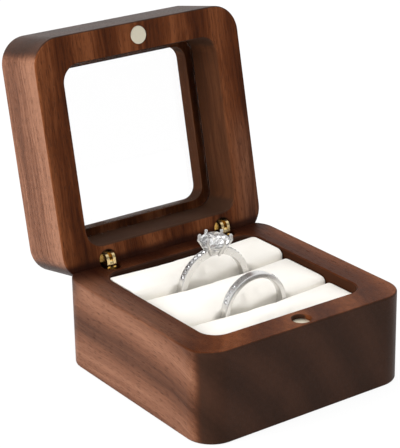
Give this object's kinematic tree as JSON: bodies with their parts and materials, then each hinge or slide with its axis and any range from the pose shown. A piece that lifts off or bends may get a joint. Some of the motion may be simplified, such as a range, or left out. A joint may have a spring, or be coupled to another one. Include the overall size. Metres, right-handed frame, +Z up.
{
  "type": "ring display box",
  "caption": "Hinged hardwood ring box with a glazed lid, magnetic catch and padded slots that hold a solitaire ring and a wedding band.",
  "frame": {"origin": "centre of the box's underside, on the surface it stands on", "axes": "+Z up, +Y to the back where the hinges are, +X to the right seen from the front; the lid is open in the stored pose"},
  "size_m": [0.06, 0.0852, 0.0795],
  "materials": {
    "walnut": "oiled walnut with a satin sheen",
    "velvet": "cream velvet",
    "card": "cream card",
    "magnet": "nickel plated",
    "brass": "polished brass",
    "white_gold": "polished white metal",
    "diamond": "cut stone",
    "pane": "clear polished pane"
  },
  "bodies": {
    "base": {"base_block": "walnut", "insert_card": "card", "front_pad": "velvet", "middle_pad": "velvet", "rear_pad": "velvet", "base_magnet": "magnet", "left_base_barrel": "brass", "right_base_barrel": "brass", "left_hinge_pin": "brass", "right_hinge_pin": "brass", "solitaire_shank": "white_gold", "solitaire_head": "white_gold", "solitaire_stone": "diamond", "shoulder_stones": "diamond", "wedding_band": "white_gold", "band_stones": "diamond"},
    "lid": {"lid_block": "walnut", "window_pane": "pane", "lid_magnet": "magnet", "left_lid_barrel": "brass", "right_lid_barrel": "brass"}
  },
  "joints": [
    {"name": "lid_hinge", "type": "hinge", "parent": "base", "child": "lid", "pos_m": [0, 0.0276, 0.02305], "axis": [1, 0, 0], "range_deg": [0, 101]}
  ]
}
